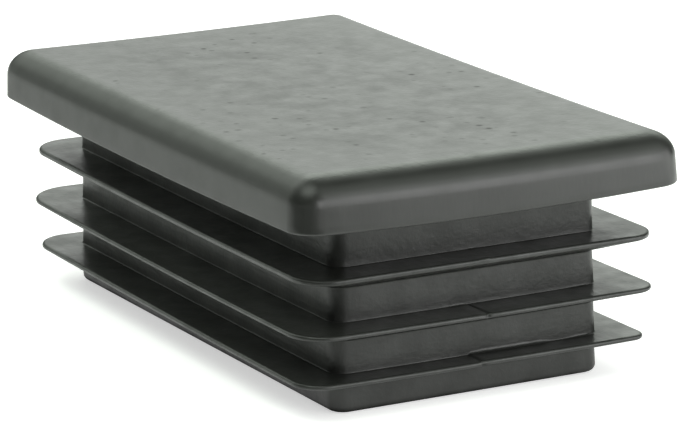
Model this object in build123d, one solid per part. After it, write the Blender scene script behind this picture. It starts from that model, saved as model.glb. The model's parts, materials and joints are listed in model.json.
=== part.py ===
from build123d import *
import os

os.makedirs("parts", exist_ok=True)

# Ribbed insert that closes the end of a rectangular tube, moulded in one piece.
# The origin is the centre of the head's underside, which lands on the cut end of the tube.
# X runs along the long side, Z points out of the tube, and the plug hangs down from z = 0.
# Lengths are in millimetres and angles in degrees.

# Tube that the insert fits, measured over its outside
tube_length = 50.0
tube_width = 30.0

# Head: the cover plate, flush with the outside of the tube
head_thickness = 4.2
head_corner_radius = 2.0
head_edge_round = 2.2
head_foot_round = 0.2
head_draft = 1.5
head_skin = 2.5

# Plug: the hollow body that goes inside the tube. Every setback is measured from the outside
# of the tube, first along its length and then along its width.
plug_setback = (4.2, 4.4)
plug_depth = 13.5
plug_corner_radius = 1.5
plug_flare = 0.8
rim_outer_round = 0.45
rim_inner_bevel = 0.3
wall = 1.8

# Core: the hollow inside the plug, open at the rim
core_draft = 1.0
core_corner_radius = 1.0
core_ceiling_round = 0.5

# Ribs: thin flexible fins that grip the bore of the tube, from the head to the rim
rib_depths = (3.2, 7.1, 10.7)
rib_setbacks = ((1.5, 1.4), (1.45, 1.2), (2.05, 1.6))
rib_corner_radius = 2.4
rib_tip_thickness = 0.3
rib_root_thickness = 0.9
rib_root_round = 0.2
rib_tip_bevel = 0.12

# How far a rib's blank runs on into the wall of the plug
rib_bite = 0.5

# How far an edge or a face may lie from a height and still count as being at it
level_tolerance = 0.01


def outline(setback, radius, height, inset=0.0):
    """Rounded rectangle at one height, set back from the outside of the tube."""
    length = tube_length - 2 * (setback[0] + inset)
    width = tube_width - 2 * (setback[1] + inset)
    return Pos(0, 0, height) * RectangleRounded(length, width, radius)


def edges_at(solid, height):
    """The level edges of a solid that lie at one height."""
    level = solid.edges().filter_by_position(
        Axis.Z, height - level_tolerance, height + level_tolerance
    )
    return level


def head():
    """Cover plate: drafted sides, a full round to the top face and a small one at the foot."""
    foot = outline((0, 0), head_corner_radius, 0)
    plate = extrude(foot, amount=head_thickness, taper=head_draft)
    plate = fillet(edges_at(plate, head_thickness), head_edge_round)
    return fillet(edges_at(plate, 0), head_foot_round)


def plug():
    """Solid body of the plug: a straight neck down to the first rib, then a slight flare."""
    neck_depth = rib_depths[0] + rib_tip_thickness
    rim = outline(plug_setback, plug_corner_radius, -plug_depth)
    body = extrude(rim, amount=plug_depth - neck_depth, taper=plug_flare)
    body += extrude(body.faces().sort_by(Axis.Z)[-1], amount=neck_depth)
    return fillet(edges_at(body, -plug_depth), rim_outer_round)


def rib(depth, setback):
    """Fin all round the plug: level on top, thinning from its root to a bevelled tip."""
    top = -depth
    tip_foot = top - rib_tip_thickness
    root_foot = top - rib_root_thickness
    root = outline(plug_setback, plug_corner_radius, root_foot, rib_bite)
    tip = outline(setback, rib_corner_radius, tip_foot)
    blade = loft([root, tip], ruled=True) + extrude(tip, amount=rib_tip_thickness)
    return chamfer(edges_at(blade, top), rib_tip_bevel)


def inner_edges_at(body, height):
    """The inner edges of the level ring face that the body has at one height."""
    levels = body.faces().filter_by(Plane.XY)
    ring = levels.filter_by_position(Axis.Z, height - level_tolerance, height + level_tolerance)[0]
    return ring.inner_wires()[0].edges()


def core():
    """Hollow of the plug, drafted so that it draws off its core pin toward the rim."""
    mouth = outline(plug_setback, core_corner_radius, -plug_depth, wall)
    height = plug_depth + head_thickness - head_skin
    hollow = extrude(mouth, amount=height, taper=core_draft)
    return fillet(edges_at(hollow, height - plug_depth), core_ceiling_round)


def insert():
    """Head, plug and ribs joined, with the core taken out."""
    body = head() + plug()
    for depth, setback in zip(rib_depths, rib_setbacks):
        body += rib(depth, setback)
        body = fillet(inner_edges_at(body, -depth), rib_root_round)
    body -= core()
    return chamfer(inner_edges_at(body, -plug_depth), rim_inner_bevel)


ribbed_insert = insert()
export_step(ribbed_insert, "parts/ribbed_insert.step")
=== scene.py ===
# %% [markdown]
# # A ribbed end cap for rectangular tube
#
# The real object is a plug of black polyethylene, made in one shot in an injection mould.
# A thick head covers the cut end of the tube, a hollow plug goes inside, and three thin
# ribs round the plug bend as it is pushed home and grip the bore.
# Nothing on it is separate, so one closed mesh is the right build. What makes it look real
# is in the small things: full rounds, fine roots, the line where the mould halves met,
# and the faint grain of the plastic.

# %% Load the frame
import json
import math

import bmesh
import bpy
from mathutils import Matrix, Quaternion, Vector

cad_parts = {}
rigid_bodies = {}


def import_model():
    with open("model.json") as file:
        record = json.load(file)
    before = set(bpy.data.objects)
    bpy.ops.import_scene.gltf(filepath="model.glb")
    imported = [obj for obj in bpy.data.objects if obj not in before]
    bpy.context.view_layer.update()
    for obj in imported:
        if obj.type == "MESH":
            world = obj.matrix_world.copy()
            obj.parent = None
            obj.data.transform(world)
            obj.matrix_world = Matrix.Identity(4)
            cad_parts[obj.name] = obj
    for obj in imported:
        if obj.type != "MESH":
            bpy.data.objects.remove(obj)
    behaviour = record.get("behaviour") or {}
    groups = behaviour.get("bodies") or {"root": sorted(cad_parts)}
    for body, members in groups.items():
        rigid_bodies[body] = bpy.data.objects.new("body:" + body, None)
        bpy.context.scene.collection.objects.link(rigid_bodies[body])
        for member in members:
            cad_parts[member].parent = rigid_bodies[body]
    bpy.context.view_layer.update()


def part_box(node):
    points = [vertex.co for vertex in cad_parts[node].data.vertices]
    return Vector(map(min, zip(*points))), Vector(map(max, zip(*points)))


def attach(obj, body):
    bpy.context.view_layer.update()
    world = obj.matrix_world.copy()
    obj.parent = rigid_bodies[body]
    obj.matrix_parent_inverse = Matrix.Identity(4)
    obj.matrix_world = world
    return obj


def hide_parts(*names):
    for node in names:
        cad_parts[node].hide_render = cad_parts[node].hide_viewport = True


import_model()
node_low, node_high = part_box("ribbed_insert")
print("CAD box in mm:", [round(1000 * side, 2) for side in node_high - node_low])

# %% [markdown]
# ## Sizes
#
# The mesh is drawn in millimetres, where a fillet of a few tenths is an easy number to
# read, and it is scaled to metres at the end. Every level outline of this part is nearly a
# rounded rectangle, and nine numbers and a height give one. Five are setbacks from the
# outside of the tube: left (-X), right (+X), back (+Y), and the front (-Y) at its left and
# at its right end. Four are corner radii: left front, right front, left back, right back.
#
# The drawing of such a part is the same on all sides, but the real one isn't. It cooled off
# the mould, so its thin ribs each shrank a little differently and its corners aren't equal.

# %% Sizes in millimetres
MM = 0.001

TUBE_LENGTH = 50.0
TUBE_WIDTH = 30.0

HEAD_TOP = 4.2
HEAD_CORNERS = (2.0, 2.0, 1.6, 2.05)
FOOT_CORNERS = (2.0, 2.0, 1.6, 1.8)
# The rounds of the top edge are given side by side too, in the order of the setbacks.
HEAD_ROUNDS = (1.85, 2.2, 2.2, 2.2, 2.2)
HEAD_FOOT_ROUND = 0.2
HEAD_DRAFT = math.radians(1.5)
HEAD_SKIN = 2.5

NECK_SIDES = (4.29, 4.34, 4.54, 4.47, 4.74)
RIM_SIDES = (4.08, 4.10, 4.28, 4.30, 4.66)
PLUG_CORNERS = (1.5, 1.25, 1.5, 1.2)
PLUG_DEPTH = 13.5
RIM_ROUND = 0.5
RIM_INNER_ROUND = 0.3
WALL = 1.8

CORE_CORNER = 1.0
CORE_DRAFT = math.radians(1.0)
CEILING_ROUND = 0.5

RIB_DEPTHS = (3.2, 7.1, 10.7)
RIB_SIDES = (
    (1.86, 1.43, 1.08, 1.41, 1.41),
    (1.23, 1.30, 1.27, 1.06, 1.06),
    (1.91, 2.17, 1.67, 1.50, 1.50),
)
RIB_CORNERS = ((2.9, 2.7, 2.6, 2.4), (3.6, 2.8, 2.6, 1.7), (2.7, 2.2, 2.2, 1.1))
# How thick each rib is at its tip and at its root, how far in and how far up or down the
# rounds of its tip reach, above and below, and last the rounds at its root, above and below.
RIB_TIPS = (0.40, 0.34, 0.34)
RIB_ROOTS = (1.38, 1.22, 0.9)
RIB_TIP_UPPER = (0.22, 0.18)
RIB_TIP_LOWER = (0.10, 0.10)
RIB_ROOT_ROUNDS = (0.06, 0.06, 0.08)
RIB_FOOT_ROUND = 0.12

CEILING = HEAD_TOP - HEAD_SKIN
print("Overall height in mm:", HEAD_TOP + PLUG_DEPTH)

# %% [markdown]
# ## The section, walked from the top to the hollow
#
# A moulder draws a part like this as one section and sweeps it round. The mesh is made the
# same way: a list of rows follows the skin from the middle of the head, over its edge, down
# the plug and round each rib, under the rim and up into the hollow. A straight run needs one
# row. A round is a quarter turn, and takes several.

# %% Helpers that walk the section
def shifted(numbers, amount):
    """Setbacks or radii, each larger by the same amount."""
    return tuple(number + amount for number in numbers)


def run_to(rows, sides, corners, height, steps=1):
    """Go straight on to a new outline."""
    start = rows[-1]
    end = (*sides, *corners, height)
    for step in range(1, steps + 1):
        share = step / steps
        rows.append(tuple(a + (b - a) * share for a, b in zip(start, end)))


def turn_to(rows, sides, corners, height, steps, level_first):
    """Go on to a new outline by a quarter turn that starts level, or starts upright."""
    start = rows[-1]
    plan = (*sides, *corners)
    for step in range(1, steps + 1):
        angle = math.pi / 2 * step / steps
        quick, slow = math.sin(angle), 1 - math.cos(angle)
        across, along = (quick, slow) if level_first else (slow, quick)
        flat = tuple(a + (b - a) * across for a, b in zip(start, plan))
        rows.append((*flat, start[-1] + (height - start[-1]) * along))


def wall_sides(depth):
    """Setbacks of the plug's wall at one depth, as it flares out toward the rim."""
    share = depth / PLUG_DEPTH
    return tuple(neck + (rim - neck) * share for neck, rim in zip(NECK_SIDES, RIM_SIDES))


# %% Walk the head
# A support row lies EASE away from each end of a round, or ROOT_EASE at the roots of the ribs,
# so that the flat beside it stays flat under smooth shading. SHARP rounds a corner so little
# that it looks sharp, and FLUSH keeps the sides of the head a hair inside the solid's.
EASE = 0.06
ROOT_EASE = 0.22
SHARP = (0.12,) * 4
FLUSH = (0.005,) * 5
MIDDLE_SETBACK = 12.5
TOP_MIDDLE = shifted(FLUSH, MIDDLE_SETBACK)

rows = [(*TOP_MIDDLE, *SHARP, HEAD_TOP)]
side_top = HEAD_TOP - HEAD_ROUNDS[1]
lean = side_top * math.tan(HEAD_DRAFT)
foot_lean = HEAD_FOOT_ROUND * math.tan(HEAD_DRAFT)
top_sides = shifted(HEAD_ROUNDS, lean)
run_to(rows, shifted(top_sides, EASE), SHARP, HEAD_TOP, steps=12)
run_to(rows, top_sides, SHARP, HEAD_TOP)
side_corners = shifted(HEAD_CORNERS, -lean)
turn_to(rows, shifted(FLUSH, lean), side_corners, side_top, steps=12, level_first=True)
foot_sides, foot_corners = shifted(FLUSH, foot_lean), shifted(FOOT_CORNERS, -foot_lean)
run_to(rows, foot_sides, foot_corners, HEAD_FOOT_ROUND, steps=4)
foot_sides = shifted(foot_sides, HEAD_FOOT_ROUND)
foot_corners = shifted(foot_corners, -HEAD_FOOT_ROUND)
turn_to(rows, foot_sides, foot_corners, 0.0, steps=5, level_first=False)
print("Rows round the head:", len(rows))

# %% Walk the underside, the neck and the ribs
neck = wall_sides(0.0)
neck_flat = shifted(neck, -RIB_FOOT_ROUND)
flat_corners = shifted(PLUG_CORNERS, RIB_FOOT_ROUND)
run_to(rows, shifted(foot_sides, EASE), foot_corners, 0.0)
run_to(rows, shifted(neck_flat, -EASE), flat_corners, 0.0, steps=2)
run_to(rows, neck_flat, flat_corners, 0.0)
turn_to(rows, neck, PLUG_CORNERS, -RIB_FOOT_ROUND, steps=3, level_first=True)


def walk_rib(rows, depth, sides, corners, tip, root, root_round):
    """Down the wall to the root of a rib, out along its top, round its tip and back."""
    wall = wall_sides(depth)
    run_to(rows, wall, PLUG_CORNERS, -depth + root_round + ROOT_EASE)
    run_to(rows, wall, PLUG_CORNERS, -depth + root_round)
    inner, inner_corners = shifted(wall, -root_round), shifted(PLUG_CORNERS, root_round)
    turn_to(rows, inner, inner_corners, -depth, steps=5, level_first=False)
    run_to(rows, shifted(inner, -ROOT_EASE), shifted(inner_corners, ROOT_EASE), -depth)

    across, down = RIB_TIP_UPPER
    shoulder, blunt = shifted(sides, across), shifted(corners, -across)
    run_to(rows, shifted(shoulder, EASE), shifted(blunt, -EASE), -depth, steps=3)
    run_to(rows, shoulder, blunt, -depth)
    turn_to(rows, sides, corners, -depth - down, steps=6, level_first=True)
    across, up = RIB_TIP_LOWER
    run_to(rows, sides, corners, -depth - tip + up)
    heel, blunt = shifted(sides, across), shifted(corners, -across)
    turn_to(rows, heel, blunt, -depth - tip, steps=4, level_first=False)

    foot = -depth - root
    foot_sides = shifted(wall, -RIB_FOOT_ROUND)
    foot_corners = shifted(PLUG_CORNERS, RIB_FOOT_ROUND)
    run_to(rows, foot_sides, foot_corners, foot, steps=3)
    turn_to(rows, wall, PLUG_CORNERS, foot - RIB_FOOT_ROUND, steps=3, level_first=True)
    run_to(rows, wall, PLUG_CORNERS, foot - RIB_FOOT_ROUND - EASE)


for rib in zip(RIB_DEPTHS, RIB_SIDES, RIB_CORNERS, RIB_TIPS, RIB_ROOTS, RIB_ROOT_ROUNDS):
    walk_rib(rows, *rib)
print("Rows down to the last rib:", len(rows))

# %% Walk the rim and the hollow
run_to(rows, RIM_SIDES, PLUG_CORNERS, -PLUG_DEPTH + RIM_ROUND)
rim_flat, rim_corners = shifted(RIM_SIDES, RIM_ROUND), shifted(PLUG_CORNERS, -RIM_ROUND)
turn_to(rows, rim_flat, rim_corners, -PLUG_DEPTH, steps=6, level_first=False)
run_to(rows, shifted(rim_flat, EASE), rim_corners, -PLUG_DEPTH)

mouth, core_corners = shifted(RIM_SIDES, WALL), (CORE_CORNER,) * 4
lip, lip_corners = shifted(mouth, -RIM_INNER_ROUND), shifted(core_corners, RIM_INNER_ROUND)
run_to(rows, shifted(lip, -EASE), lip_corners, -PLUG_DEPTH)
run_to(rows, lip, lip_corners, -PLUG_DEPTH)
turn_to(rows, mouth, core_corners, -PLUG_DEPTH + RIM_INNER_ROUND, steps=4, level_first=True)
core_top = CEILING - CEILING_ROUND
core_lean = (core_top + PLUG_DEPTH) * math.tan(CORE_DRAFT)
core_wall = shifted(mouth, core_lean)
run_to(rows, core_wall, shifted(core_corners, -core_lean), core_top, steps=5)
ceiling = shifted(core_wall, CEILING_ROUND)
turn_to(rows, ceiling, SHARP, CEILING, steps=5, level_first=False)
run_to(rows, shifted(ceiling, EASE), SHARP, CEILING)
run_to(rows, TOP_MIDDLE, SHARP, CEILING, steps=3)
print("Rows in all:", len(rows))

# %% [markdown]
# ## Raising the skin, ring by ring
#
# Each row becomes a ring: a plane whose corners are bevelled round, whose face is taken
# away, and whose straight sides are cut so that the skin can be shaped later. Bridging each
# new ring to the open edge of the skin gives clean bands of quads, which is what keeps a
# soft highlight soft. A boolean of simple blocks would be quicker to write, but its long
# thin faces shade badly along fine roots.

# %% Draw one ring
# A ring is drawn BRIDGE_LIFT above the one before it, so that the two never touch, and is let
# down into its place once they are bridged.
CORNER_SEGMENTS = 10
CUTS_ALONG = 31
CUTS_ACROSS = 19
AT_PLACE = 1e-5
STRAIGHT = 0.03
BRIDGE_LIFT = 1.0


def runs_along(edge, axis):
    """Whether an edge runs along X (0) or along Y (1), give or take a degree or two."""
    step = edge.verts[1].co - edge.verts[0].co
    return abs(step[1 - axis]) < STRAIGHT * step.length


def select_sides(mesh, axis):
    """Select the straight sides of the new ring that run along one axis."""
    edit = bmesh.from_edit_mesh(mesh)
    for edge in edit.edges:
        edge.select_set(edge.is_wire and runs_along(edge, axis))
    edit.select_flush_mode()
    bmesh.update_edit_mesh(mesh)


def select_point(mesh, place):
    """Select the one point that lies at a place."""
    edit = bmesh.from_edit_mesh(mesh)
    for point in edit.verts:
        point.select_set((point.co - place).length < AT_PLACE)
    edit.select_flush_mode()
    bmesh.update_edit_mesh(mesh)


def round_corners(mesh, corners):
    """Bevel the corners of the new plane, together where they are the same."""
    if len(set(corners)) == 1:
        bpy.ops.mesh.bevel(offset=corners[0], segments=CORNER_SEGMENTS, affect="VERTICES")
        return
    edit = bmesh.from_edit_mesh(mesh)
    places = [point.co.copy() for point in edit.verts if point.select]
    places.sort(key=lambda place: (place.y > 0.0, place.x))
    for place, radius in zip(places, corners):
        select_point(mesh, place)
        bpy.ops.mesh.bevel(offset=radius, segments=CORNER_SEGMENTS, affect="VERTICES")
    bpy.ops.mesh.select_linked()


def add_ring(mesh, row):
    """Add the outline of one row to the mesh in edit mode, as a ring of edges."""
    left, right, back, front, front_right, *corners, height = row
    middle = Vector(((left - right) / 2, (front - back) / 2, height))
    sides = (TUBE_LENGTH - left - right, TUBE_WIDTH - front - back, 1.0)
    bpy.ops.mesh.select_all(action="DESELECT")
    bpy.ops.mesh.primitive_plane_add(size=1.0, location=middle)
    bpy.ops.transform.resize(value=sides, center_override=middle)
    if front_right != front:
        select_point(mesh, middle + Vector((sides[0] / 2, -sides[1] / 2, 0.0)))
        bpy.ops.transform.translate(value=(0.0, front_right - front, 0.0))
        bpy.ops.mesh.select_linked()
    round_corners(mesh, corners)
    bpy.ops.mesh.delete(type="ONLY_FACE")
    bpy.ops.mesh.select_mode(type="EDGE")
    select_sides(mesh, 0)
    bpy.ops.mesh.subdivide(number_cuts=CUTS_ALONG)
    select_sides(mesh, 1)
    bpy.ops.mesh.subdivide(number_cuts=CUTS_ACROSS)
    bpy.ops.mesh.select_mode(type="VERT")


def select_open_edge(wire):
    """Select the open edge of the skin, and a ring that is still only wire if asked."""
    bpy.ops.mesh.select_all(action="DESELECT")
    bpy.ops.mesh.select_non_manifold(
        extend=False, use_wire=wire, use_boundary=True,
        use_multi_face=False, use_non_contiguous=False, use_verts=False,
    )


# %% Raise the skin
bpy.ops.object.select_all(action="DESELECT")
bpy.ops.mesh.primitive_plane_add(size=1.0, location=(0.0, 0.0, 0.0))
insert = bpy.context.object
insert.name = "ribbed_insert_moulding"
skin = insert.data
skin.name = "ribbed_insert_moulding"
bpy.ops.object.mode_set(mode="EDIT")
bpy.ops.mesh.delete(type="VERT")

add_ring(skin, rows[0])
bpy.ops.mesh.select_all(action="SELECT")
bpy.ops.mesh.edge_face_add()
for above, row in zip(rows, rows[1:]):
    drawn_at = above[-1] + BRIDGE_LIFT
    add_ring(skin, (*row[:-1], drawn_at))
    select_open_edge(wire=True)
    bpy.ops.mesh.bridge_edge_loops()
    select_open_edge(wire=False)
    bpy.ops.transform.translate(value=(0.0, 0.0, row[-1] - drawn_at))
select_open_edge(wire=False)
bpy.ops.mesh.edge_face_add()
bpy.ops.mesh.select_all(action="SELECT")
bpy.ops.mesh.normals_make_consistent(inside=False)
bpy.ops.object.mode_set(mode="OBJECT")
print("Skin:", len(skin.vertices), "points and", len(skin.polygons), "faces")

# %% [markdown]
# ## The parting line
#
# The halves of the mould met in a plane across the middle, and at the right end of the part
# they didn't close true. The line crosses the second rib as a fine groove that nicks its
# edge. The third rib steps up by a hair beyond it, over a root that is filled out. Bisecting
# the skin first gives these small marks edges of their own. A nudge moves the few points
# inside a box, given by two of its corners.

# %% Cut the skin along the parting line
PARTING_WIDTH = 0.09

bpy.ops.object.mode_set(mode="EDIT")
for offset in (-PARTING_WIDTH, 0.0, PARTING_WIDTH):
    bpy.ops.mesh.select_all(action="SELECT")
    bpy.ops.mesh.bisect(plane_co=(0.0, offset, 0.0), plane_no=(0.0, 1.0, 0.0))
print("Skin when cut:", len(bmesh.from_edit_mesh(skin).verts), "points")


# %% Mark the parting line
def nudge(mesh, low, high, move):
    """Move the points inside a box."""
    edit = bmesh.from_edit_mesh(mesh)
    for point in edit.verts:
        point.select_set(all(a <= b <= c for a, b, c in zip(low, point.co, high)))
    chosen = sum(point.select for point in edit.verts)
    edit.select_flush_mode()
    bmesh.update_edit_mesh(mesh)
    bpy.ops.transform.translate(value=move)
    return chosen


NUDGES = {
    "groove": ((20.9, -0.01, -7.11), (23.4, 0.01, -6.98), (0.0, 0.0, -0.10)),
    "nick": ((23.41, -0.01, -7.36), (23.8, 0.01, -7.05), (-0.16, 0.0, -0.05)),
    "nick below": ((23.41, -0.1, -7.36), (23.8, 0.1, -7.05), (-0.05, 0.0, 0.0)),
    "chip": ((22.5, -0.1, -11.03), (22.9, 0.4, -10.65), (-0.12, 0.0, -0.02)),
    "bump": ((23.3, -0.12, -3.4), (23.7, 0.12, -3.15), (0.06, 0.0, 0.05)),
}
for name, (low, high, move) in NUDGES.items():
    print("Moved for the", name + ":", nudge(skin, low, high, move))

# %% Fill out the roots at the right end
# Each fill: the rib, where it starts and ends along Y, and the radius it fills the root to.
ROOT_FILLS = (
    (0, 0.0, 0.3, 0.18),
    (1, -1.8, -0.1, 0.15),
    (1, 7.6, 10.0, 0.13),
    (2, 0.0, 6.5, 0.26),
    (2, 7.6, 8.7, 0.26),
    (2, 9.2, 10.0, 0.20),
)
FILL_FADE = 0.3


def fill_root(mesh, rib, start, end, radius):
    """Draw the points at the root of a rib onto a wider round, along one stretch."""
    wall_x = TUBE_LENGTH / 2 - wall_sides(RIB_DEPTHS[rib])[1]
    small = RIB_ROOT_ROUNDS[rib]
    moved = 0
    edit = bmesh.from_edit_mesh(mesh)
    for point in edit.verts:
        across, up = point.co.x - wall_x, point.co.z + RIB_DEPTHS[rib]
        near = -AT_PLACE < across < small + AT_PLACE and -AT_PLACE < up < small + AT_PLACE
        if near and start < point.co.y < end:
            fade = min(1.0, (point.co.y - start) / FILL_FADE, (end - point.co.y) / FILL_FADE)
            size = small + (radius - small) * fade
            turn = (1.0 + (across - up) / small) * math.pi / 4
            point.co.x = wall_x + size * (1.0 - math.cos(turn))
            point.co.z = size * (1.0 - math.sin(turn)) - RIB_DEPTHS[rib]
            moved += 1
    bmesh.update_edit_mesh(mesh)
    return moved


print("Moved to fill the roots:", [fill_root(skin, *fill) for fill in ROOT_FILLS])

# %% Lift the third rib beyond the line
RIB_STEP = 0.06
STEP_FADES_OVER = 9.0
STEP_REACH = 0.5
step_x = TUBE_LENGTH / 2 - wall_sides(RIB_DEPTHS[2])[1] - AT_PLACE
step_low, step_high = -RIB_DEPTHS[2] - RIB_ROOTS[2], -RIB_DEPTHS[2] + STEP_REACH

edit = bmesh.from_edit_mesh(skin)
for point in edit.verts:
    x, y, z = point.co
    if x > step_x and y > PARTING_WIDTH / 2 and step_low < z < step_high:
        point.co.z += RIB_STEP * max(0.0, 1.0 - y / STEP_FADES_OVER)
bmesh.update_edit_mesh(skin)
bpy.ops.object.mode_set(mode="OBJECT")
print("Skin with its marks:", len(skin.vertices), "points")

# %% [markdown]
# ## The warp
#
# Moulded plastic never cools quite flat. The corners of the real head and of its ribs have
# curled up by a few tenths of a millimetre, and the top has sunk a little. A lattice does
# this to a finished mesh: a coarse cage of points, whose bend the mesh follows. Moving rows
# of vertices by hand would do it too, but would leave kinks between them.
#
# The table gives the lift at nine places on each level, in millimetres: the front row from
# left to right, then the middle row, then the back row.

# %% Warp the insert
LIFTS = {
    HEAD_TOP: ((-0.04, -0.14, 0.0), (-0.12, -0.14, -0.14), (0.06, -0.14, 0.0)),
    0.0: ((0.63, 0.20, 0.46), (0.10, 0.06, 0.17), (0.45, 0.08, 0.57)),
    -RIB_DEPTHS[0]: ((0.14, -0.12, -0.03), (0.20, -0.04, 0.02), (0.12, -0.02, -0.01)),
    -RIB_DEPTHS[1]: ((0.22, -0.03, 0.13), (0.18, -0.01, 0.08), (0.21, 0.09, 0.22)),
    -RIB_DEPTHS[2]: ((0.23, 0.05, 0.14), (0.13, 0.0, 0.04), (0.13, 0.11, 0.19)),
    -PLUG_DEPTH: ((0.0, 0.01, 0.03), (0.0, 0.02, 0.07), (0.0, 0.04, 0.16)),
}
CAGE_POINTS = (7, 7, 21)
CAGE = (75.0, 45.0, HEAD_TOP + PLUG_DEPTH)
CAGE_MIDDLE = (HEAD_TOP - PLUG_DEPTH) / 2


def through_three(values, place):
    """The smooth curve through three values at -1, 0 and 1."""
    low, middle, high = values
    return middle + (high - low) / 2 * place + ((high + low) / 2 - middle) * place ** 2


def lift_on_level(level, x, y):
    """The lift at one place on one level of the table."""
    return through_three([through_three(row, 2 * x / TUBE_LENGTH) for row in level],
                         2 * y / TUBE_WIDTH)


def lift_at(x, y, z):
    """The lift anywhere, in proportion between the two levels round a height."""
    heights = sorted(LIFTS)
    for low, high in zip(heights, heights[1:]):
        if z <= high or high == heights[-1]:
            share = min(max((z - low) / (high - low), 0.0), 1.0)
            below, above = lift_on_level(LIFTS[low], x, y), lift_on_level(LIFTS[high], x, y)
            return below + (above - below) * share


bpy.ops.object.add(type="LATTICE", location=(0.0, 0.0, CAGE_MIDDLE))
cage = bpy.context.object
cage.scale = CAGE
cage.data.points_u, cage.data.points_v, cage.data.points_w = CAGE_POINTS
cage.data.interpolation_type_u = "KEY_CATMULL_ROM"
cage.data.interpolation_type_v = "KEY_CATMULL_ROM"
cage.data.interpolation_type_w = "KEY_LINEAR"
for point in cage.data.points:
    x, y, z = (place * size for place, size in zip(point.co, CAGE))
    point.co_deform.z = point.co.z + lift_at(x, y, z + CAGE_MIDDLE) / CAGE[2]

bpy.ops.object.select_all(action="DESELECT")
insert.select_set(True)
bpy.context.view_layer.objects.active = insert
bpy.ops.object.modifier_add(type="LATTICE")
insert.modifiers[-1].object = cage
bpy.ops.object.modifier_apply(modifier=insert.modifiers[-1].name)
bpy.data.objects.remove(cage, do_unlink=True)
NEAR_END = 24.0
ends = [point.co.z for point in skin.vertices if abs(point.co.x) > NEAR_END]
print("Ends of the head reach down to", round(min(ends), 3), "mm")

# %% [markdown]
# ## From the bench to the frame
#
# The mesh was drawn in millimetres round the same origin as the solids, so scaling it by a
# thousandth about that origin puts it in place. Every face belongs to a round or to a long
# soft surface with a support row beside it, so smooth shading all over is right.

# %% Bring the insert into the frame
bpy.ops.object.mode_set(mode="EDIT")
bpy.ops.mesh.select_all(action="SELECT")
bpy.ops.transform.resize(value=(MM, MM, MM), center_override=(0.0, 0.0, 0.0))
bpy.ops.object.mode_set(mode="OBJECT")
bpy.ops.object.shade_smooth()

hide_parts("ribbed_insert")
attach(insert, "root")
print("Insert in mm:", [round(side / MM, 2) for side in insert.dimensions])

# %% [markdown]
# ## Black polyethylene
#
# The plastic is a soft, waxy black with a satin sheen. Head on it looks almost black. Along
# its surface it looks grey, because the sheen takes over. Each face carries the marks of the
# steel that shaped it. The top has a fine mottle with small pits, and the plug a little of the
# same grain. The sides show faint draw lines from leaving the mould: upright ones on the
# head's right end, and ones along the ribs on the plug. All of it is shallow, so it goes in
# the bump and the sheen, and reads the object's own coordinates.
#
# Some places are duller. A rougher coat wouldn't show it, since any plastic shines when it is
# looked at along its surface. So the shiny plastic is mixed there with a plain matt one.
# Clouds and pits dull it at random, most in the middle of the top and on the plug. The same
# mix is painted shade on the fillet round the top, on the ends of the plug between the ribs,
# on the long sides of the head and on the lowest edge of the rim, where it darkens them.

# %% Helpers for nodes
def new_material(name):
    """A material with only its output node, and the tree to build it in."""
    material = bpy.data.materials.new(name)
    material.use_nodes = True
    material.node_tree.nodes.clear()
    output = material.node_tree.nodes.new("ShaderNodeOutputMaterial")
    return material, material.node_tree, output


def noise(tree, source, scale, detail, roughness=0.5):
    """A noise pattern on the object's own coordinates."""
    node = tree.nodes.new("ShaderNodeTexNoise")
    node.inputs["Scale"].default_value = scale
    node.inputs["Detail"].default_value = detail
    node.inputs["Roughness"].default_value = roughness
    tree.links.new(source, node.inputs["Vector"])
    return node.outputs["Fac"]


def stretched(tree, source, stretch):
    """Coordinates scaled by a different amount along each axis."""
    node = tree.nodes.new("ShaderNodeMapping")
    node.inputs["Scale"].default_value = stretch
    tree.links.new(source, node.inputs["Vector"])
    return node.outputs["Vector"]


def combine(tree, operation, first, second):
    """Two values put together. The second may be a plain number."""
    node = tree.nodes.new("ShaderNodeMath")
    node.operation = operation
    tree.links.new(first, node.inputs[0])
    if isinstance(second, (int, float)):
        node.inputs[1].default_value = second
    else:
        tree.links.new(second, node.inputs[1])
    return node.outputs["Value"]


def product(tree, first, *others):
    """Values multiplied together."""
    for other in others:
        first = combine(tree, "MULTIPLY", first, other)
    return first


def total(tree, first, *others):
    """Values added together."""
    for other in others:
        first = combine(tree, "ADD", first, other)
    return first


def spread(tree, source, edge, to_low, to_high):
    """A value taken from one range to another, and held inside it."""
    node = tree.nodes.new("ShaderNodeMapRange")
    low, high = edge
    settings = {"From Min": low, "From Max": high, "To Min": to_low, "To Max": to_high}
    for name, value in settings.items():
        node.inputs[name].default_value = value
    tree.links.new(source, node.inputs["Value"])
    return node.outputs["Result"]


def beyond(tree, source, edge):
    """0 before an edge and 1 past it. It fades between two lengths in millimetres."""
    return spread(tree, source, (edge[0] * MM, edge[1] * MM), 0.0, 1.0)


def short_of(tree, source, edge):
    """1 before an edge and 0 past it. It fades between two lengths in millimetres."""
    return spread(tree, source, (edge[0] * MM, edge[1] * MM), 1.0, 0.0)


# %% Mix the polyethylene
PLASTIC_IOR = 1.5
TONE_SCALE = 260.0
DARK_TONE = (0.3, (0.019, 0.020, 0.018, 1.0))
PALE_TONE = (0.7, (0.025, 0.026, 0.024, 1.0))

plastic, tree, output = new_material("black_polyethylene")
place = tree.nodes.new("ShaderNodeTexCoord").outputs["Object"]
shader = tree.nodes.new("ShaderNodeBsdfPrincipled")
shader.inputs["Metallic"].default_value = 0.0
shader.inputs["IOR"].default_value = PLASTIC_IOR

tone = tree.nodes.new("ShaderNodeValToRGB")
for stop, (position, color) in zip(tone.color_ramp.elements, (DARK_TONE, PALE_TONE)):
    stop.position, stop.color = position, color
tree.links.new(noise(tree, place, TONE_SCALE, detail=3.0), tone.inputs["Fac"])
tree.links.new(tone.outputs["Color"], shader.inputs["Base Color"])

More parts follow.
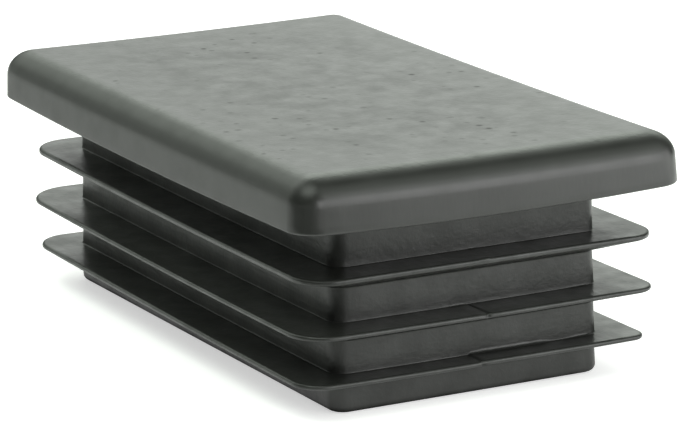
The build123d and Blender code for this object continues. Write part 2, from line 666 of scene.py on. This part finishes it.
# %% Mask the faces of the moulding
# Each edge is where one face passes into the next, in millimetres.
TOP_EDGE = (HEAD_TOP - 0.42, HEAD_TOP - 0.22)
FILLET_EDGE = (2.2, 3.0)
FOOT_EDGE = (0.1, 0.3)
PLUG_EDGE = (-0.4, 0.0)
RIGHT_EDGE = (23.6, 24.2)

parts = tree.nodes.new("ShaderNodeSeparateXYZ")
tree.links.new(place, parts.inputs["Vector"])
height = parts.outputs["Z"]
off_x = combine(tree, "ABSOLUTE", parts.outputs["X"], 0.0)
off_y = combine(tree, "ABSOLUTE", parts.outputs["Y"], 0.0)
on_top = beyond(tree, height, TOP_EDGE)
on_plug = short_of(tree, height, PLUG_EDGE)
on_right_side = product(tree, beyond(tree, height, FOOT_EDGE), short_of(tree, height, FILLET_EDGE),
                        beyond(tree, parts.outputs["X"], RIGHT_EDGE))

# %% Scatter the pits
# A pit is the middle of a noise cell. Chance leaves most cells plain, and a slow noise
# crowds the pits together in some places.
PIT_SCALE = 1000.0
PIT_RIM = (0.12, 0.30)
PIT_CHANCE = (0.5, 0.9)
CROWD_SCALE = 140.0
CROWD_EDGE = (0.42, 0.62)
FEWEST_PITS = 0.1

cells = tree.nodes.new("ShaderNodeTexVoronoi")
cells.inputs["Scale"].default_value = PIT_SCALE
tree.links.new(place, cells.inputs["Vector"])
chance = tree.nodes.new("ShaderNodeSeparateColor")
tree.links.new(cells.outputs["Color"], chance.inputs["Color"])
pits = product(
    tree,
    spread(tree, cells.outputs["Distance"], PIT_RIM, 1.0, 0.0),
    spread(tree, chance.outputs["Red"], PIT_CHANCE, 0.0, 1.0),
    spread(tree, noise(tree, place, CROWD_SCALE, detail=2.0), CROWD_EDGE, FEWEST_PITS, 1.0),
    on_top,
)

# %% Add the grain and the draw lines
# Depths are shares of the bump's distance, which is in metres.
BUMP_DISTANCE = 0.00004
NOISE_RANGE = (0.2, 0.8)
MOTTLE_SCALE = 2400.0
MOTTLE_DEPTH = 0.36
PLUG_GRAIN = 0.8
PIT_DEPTH = 0.5
UPRIGHT_SCALE = 2400.0
UPRIGHT_STRETCH = (1.0, 1.0, 0.3)
UPRIGHT_DEPTH = 0.15
ALONG_SCALE = 3000.0
ALONG_STRETCH = (0.08, 0.6, 1.0)
ALONG_DEPTH = 0.2

mottle = noise(tree, place, MOTTLE_SCALE, detail=2.0, roughness=0.6)
mottle = spread(tree, mottle, NOISE_RANGE, 0.0, MOTTLE_DEPTH)
mottle = product(tree, mottle, total(tree, on_top, product(tree, on_plug, PLUG_GRAIN)))
upright = noise(tree, stretched(tree, place, UPRIGHT_STRETCH), UPRIGHT_SCALE, detail=3.0)
upright = product(tree, spread(tree, upright, NOISE_RANGE, 0.0, UPRIGHT_DEPTH), on_right_side)
along = noise(tree, stretched(tree, place, ALONG_STRETCH), ALONG_SCALE, detail=3.0)
along = product(tree, spread(tree, along, NOISE_RANGE, 0.0, ALONG_DEPTH), on_plug)
relief = combine(tree, "SUBTRACT", mottle, product(tree, pits, PIT_DEPTH))
relief = total(tree, relief, upright, along)

bump = tree.nodes.new("ShaderNodeBump")
bump.inputs["Strength"].default_value = 1.0
bump.inputs["Distance"].default_value = BUMP_DISTANCE
tree.links.new(relief, bump.inputs["Height"])
tree.links.new(bump.outputs["Normal"], shader.inputs["Normal"])

# %% Vary the sheen
SHEEN_SCALE = 700.0
SHEEN_EDGE = (0.3, 0.7)
SHEEN_ROUGHNESS = (0.29, 0.37)
sheen = noise(tree, place, SHEEN_SCALE, detail=4.0)
tree.links.new(spread(tree, sheen, SHEEN_EDGE, *SHEEN_ROUGHNESS), shader.inputs["Roughness"])

# %% Mask the dull places and the places of painted shade
# Each edge is in millimetres, from the middle of the part or from the underside of the head.
MIDDLE_ALONG = (15.0, 24.0)
MIDDLE_ACROSS = (6.0, 14.0)
ENDS_FROM = (19.0, 20.0)
ENDS_TO = (21.4, 22.2)
LONG_SIDE_FROM = (14.6, 14.9)
LONG_SIDE_TOP = (2.6, 3.0)
LOWEST_EDGE = (0.15 - PLUG_DEPTH, RIM_ROUND - PLUG_DEPTH)

in_middle = product(tree, short_of(tree, off_x, MIDDLE_ALONG),
                    short_of(tree, off_y, MIDDLE_ACROSS), on_top)
# The fillet round the top is dulled as painted shade, which darkens the band along the head's
# edge.
shaded_fillet = combine(tree, "SUBTRACT", beyond(tree, height, FILLET_EDGE), on_top)
# The ends of the plug, between the ribs, are dulled as painted shade, which darkens them.
shaded_plug_ends = product(tree, beyond(tree, off_x, ENDS_FROM), short_of(tree, off_x, ENDS_TO), on_plug)
# The head's long sides below the fillet are dulled as painted shade, which darkens them.
shaded_long_side = product(tree, beyond(tree, off_y, LONG_SIDE_FROM),
                       short_of(tree, height, LONG_SIDE_TOP))
# The lowest edge of the rim is dulled almost wholly, painted shade that makes a dark line at the
# floor.
shaded_lowest_edge = short_of(tree, height, LOWEST_EDGE)

# %% Add up how dull each place is, with the painted shade
CLOUD_SCALE = 420.0
CLOUD_EDGE = (0.38, 0.62)
CLOUD_LOSS = 0.20
TOP_CLOUDS = (0.1, 0.9)
PLUG_CLOUDS = 0.9
PIT_LOSS = 0.45
FILLET_PAINTED_SHADE = 0.18
END_PAINTED_SHADE = 0.10
LONG_SIDE_PAINTED_SHADE = 0.27
LOWEST_PAINTED_SHADE = 0.9

clouds = noise(tree, place, CLOUD_SCALE, detail=4.0, roughness=0.6)
clouds = spread(tree, clouds, CLOUD_EDGE, 0.0, CLOUD_LOSS)
clouded = total(tree, spread(tree, in_middle, (0.0, 1.0), *TOP_CLOUDS),
                product(tree, on_plug, PLUG_CLOUDS))
dulling_and_painted_shade = total(
    tree,
    product(tree, clouds, clouded),
    product(tree, pits, PIT_LOSS),
    product(tree, shaded_fillet, FILLET_PAINTED_SHADE),
    product(tree, shaded_plug_ends, END_PAINTED_SHADE),
    product(tree, shaded_long_side, LONG_SIDE_PAINTED_SHADE),
    product(tree, shaded_lowest_edge, LOWEST_PAINTED_SHADE),
)

# %% Mix in the matt plastic
MATT_TONE = (0.024, 0.025, 0.023, 1.0)
matt = tree.nodes.new("ShaderNodeBsdfDiffuse")
matt.inputs["Color"].default_value = MATT_TONE
# The matt plastic dulls the sheen at random and, on the masked places, as painted shade.
dull_and_shade_mix = tree.nodes.new("ShaderNodeMixShader")
tree.links.new(combine(tree, "MINIMUM", dulling_and_painted_shade, 1.0), dull_and_shade_mix.inputs["Fac"])
tree.links.new(shader.outputs["BSDF"], dull_and_shade_mix.inputs[1])
tree.links.new(matt.outputs["BSDF"], dull_and_shade_mix.inputs[2])
tree.links.new(dull_and_shade_mix.outputs["Shader"], output.inputs["Surface"])

insert.data.materials.clear()
insert.data.materials.append(plastic)
print("Nodes in the plastic:", len(tree.nodes))

# %% [markdown]
# ## Floor, light and camera
#
# The insert stands on its rim on a white sweep, in a tent that is lit unevenly: bright
# half-way up behind it and high over its front, and dim toward the camera. That draws the
# head's edge as a dark band between a pale top and a grey side, and leaves the ribs black;
# painted shade on the fillet and on the ends of the plug deepens both. The tent is a sum of
# soft lobes of light, each a patch of glowing cloth that fades out round its middle. A few
# small softboxes stand low round the right end and the back. One big lamp would be simpler,
# but its single reflection would leave most of the plastic black.
#
# The camera stands off the right end and looks a little down and along the front. Its long
# lens keeps the lines of the part nearly parallel.

# %% Lay the floor
FLOOR_SIZE = 3.0
FLOOR_SHADE = 0.85
FLOOR_GLOW = 0.54
bpy.ops.object.select_all(action="DESELECT")
floor_height = -PLUG_DEPTH * MM
bpy.ops.mesh.primitive_plane_add(size=FLOOR_SIZE, location=(0.0, 0.0, floor_height))
floor = bpy.context.object
floor.name = "white_sweep"
bpy.ops.object.transform_apply(location=True, rotation=False, scale=False)

sweep, tree, output = new_material("white_sweep")
paper = tree.nodes.new("ShaderNodeBsdfDiffuse")
paper.inputs["Color"].default_value = (FLOOR_SHADE, FLOOR_SHADE, FLOOR_SHADE, 1.0)
glow = tree.nodes.new("ShaderNodeEmission")
ray = tree.nodes.new("ShaderNodeLightPath")
seen = total(tree, ray.outputs["Is Camera Ray"], ray.outputs["Is Glossy Ray"],
             ray.outputs["Is Transmission Ray"])
seen = combine(tree, "MINIMUM", seen, 1.0)
tree.links.new(product(tree, seen, FLOOR_GLOW), glow.inputs["Strength"])
both = tree.nodes.new("ShaderNodeAddShader")
tree.links.new(paper.outputs["BSDF"], both.inputs[0])
tree.links.new(glow.outputs["Emission"], both.inputs[1])
tree.links.new(both.outputs["Shader"], output.inputs["Surface"])
floor.data.materials.append(sweep)
print("Floor in mm:", round(floor_height / MM, 2))

# %% Lay a black card of painted shade
# A black card lies on the floor in front of the near corner. It is painted shade: only the
# sheen of the plastic sees it, and it is what draws the dark bands down that corner.
CARD_SIZE = (0.2, 0.5, 1.0)
CARD_EDGE = 0.046
CARD_TURN = math.radians(-37.0)
CARD_LIFT = 0.0003
SHADE_CARD_BLACK = (0.01, 0.01, 0.01, 1.0)
card_reach = CARD_EDGE + CARD_SIZE[0] / 2
card_place = (card_reach * math.cos(CARD_TURN), card_reach * math.sin(CARD_TURN),
              floor_height + CARD_LIFT)
card_turn = (0.0, 0.0, CARD_TURN)
bpy.ops.mesh.primitive_plane_add(size=1.0, location=card_place, rotation=card_turn)
shade_card = bpy.context.object
shade_card.name = "painted_shade_card"
shade_card.scale = CARD_SIZE
bpy.ops.object.transform_apply(location=True, rotation=True, scale=True)
shade_card.visible_camera = False
shade_card.visible_diffuse = False
shade_card.visible_shadow = False

shade_card_material, tree, output = new_material("painted_shade_card")
cloth = tree.nodes.new("ShaderNodeBsdfDiffuse")
cloth.inputs["Color"].default_value = SHADE_CARD_BLACK
tree.links.new(cloth.outputs["BSDF"], output.inputs["Surface"])
shade_card.data.materials.append(shade_card_material)
print("Card begins", round(CARD_EDGE / MM), "mm from the middle of the insert")

# %% Light the tent
# Each lobe: its azimuth and elevation in degrees, and its brightness.
LOBES = (
    (210, 5, 0.72),
    (135, 22, 0.63),
    (36, 42, 1.20),
    (144, 42, 1.89),
    (180, 42, 1.69),
    (216, 42, 0.93),
    (300, 66, 3.44),
)
LOBE_REACH = math.radians(32.0)
TENT_TINT = (0.92, 1.0, 0.905, 1.0)

world = bpy.data.worlds.new("soft_tent")
bpy.context.scene.world = world
world.use_nodes = True
tree = world.node_tree
tree.nodes.clear()
output = tree.nodes.new("ShaderNodeOutputWorld")
sky = tree.nodes.new("ShaderNodeBackground")
sky.inputs["Color"].default_value = TENT_TINT
direction = tree.nodes.new("ShaderNodeTexCoord").outputs["Generated"]


def way_to(azimuth, elevation):
    """The direction at an azimuth, from +X toward +Y, and an elevation, both in degrees."""
    turn, rise = math.radians(azimuth), math.radians(elevation)
    level = math.cos(rise)
    return Vector((math.cos(turn) * level, math.sin(turn) * level, math.sin(rise)))


def lobe(tree, direction, azimuth, elevation, brightness):
    """The light of one soft lobe, in whichever direction the tent is looked at."""
    toward = tree.nodes.new("ShaderNodeVectorMath")
    toward.operation = "DOT_PRODUCT"
    toward.inputs[1].default_value = way_to(azimuth, elevation)
    tree.links.new(direction, toward.inputs[0])
    edge = (math.cos(LOBE_REACH), 1.0)
    fade = spread(tree, toward.outputs["Value"], edge, 0.0, brightness)
    fade.node.interpolation_type = "SMOOTHSTEP"
    return fade


light = total(tree, *(lobe(tree, direction, *numbers) for numbers in LOBES))
tree.links.new(light, sky.inputs["Strength"])
tree.links.new(sky.outputs["Background"], output.inputs["Surface"])
print("Lobes of light:", len(LOBES))

# %% Set the softboxes
# Each softbox: its name, azimuth and elevation in degrees, distance and size in metres, watts.
SOFTBOXES = (
    ("right_low_softbox", 28, 12, 0.15, 0.06, 0.047),
    ("right_high_softbox", 28, 28, 0.15, 0.06, 0.018),
    ("back_right_softbox", 55, 14, 0.15, 0.06, 0.039),
    ("front_right_softbox", 0, 14, 0.15, 0.06, 0.046),
    ("back_softbox", 152, 15, 0.2, 0.1, 0.020),
)
LAMPS_AIM = Vector((0.0, 0.0, -0.005))


def softbox(name, azimuth, elevation, distance, size, power):
    """A small square softbox that faces the insert."""
    place = way_to(azimuth, elevation) * distance + Vector((0.0, 0.0, floor_height))
    bpy.ops.object.light_add(type="AREA", location=place)
    lamp = bpy.context.object
    lamp.name = name
    lamp.data.size = size
    lamp.data.energy = power
    lamp.rotation_euler = (LAMPS_AIM - place).to_track_quat("-Z", "Y").to_euler()
    lamp.visible_camera = False


for numbers in SOFTBOXES:
    softbox(*numbers)
print("Softboxes:", len(SOFTBOXES))

# %% Set the camera
CAMERA_AIM = (-0.00004, 0.00116, -0.00540)
CAMERA_DISTANCE = 0.2854
CAMERA_AZIMUTH = -27.74
CAMERA_ELEVATION = 14.24
CAMERA_ROLL = math.radians(-0.53)
CAMERA_LENS = 206.98
CAMERA_SENSOR = 36.0
CAMERA_NEAREST = 0.01

bpy.ops.object.camera_add()
camera = bpy.context.object
camera.data.sensor_width = CAMERA_SENSOR
camera.data.lens = CAMERA_LENS
camera.data.clip_start = CAMERA_NEAREST
back = way_to(CAMERA_AZIMUTH, CAMERA_ELEVATION)
camera.location = Vector(CAMERA_AIM) + CAMERA_DISTANCE * back
facing = (-back).to_track_quat("-Z", "Y")
rolled = facing @ Quaternion((0.0, 0.0, 1.0), CAMERA_ROLL)
camera.rotation_euler = rolled.to_euler()
bpy.context.scene.camera = camera
bpy.context.scene.view_settings.view_transform = "Standard"
print("Camera in mm:", [round(place / MM, 1) for place in camera.location])
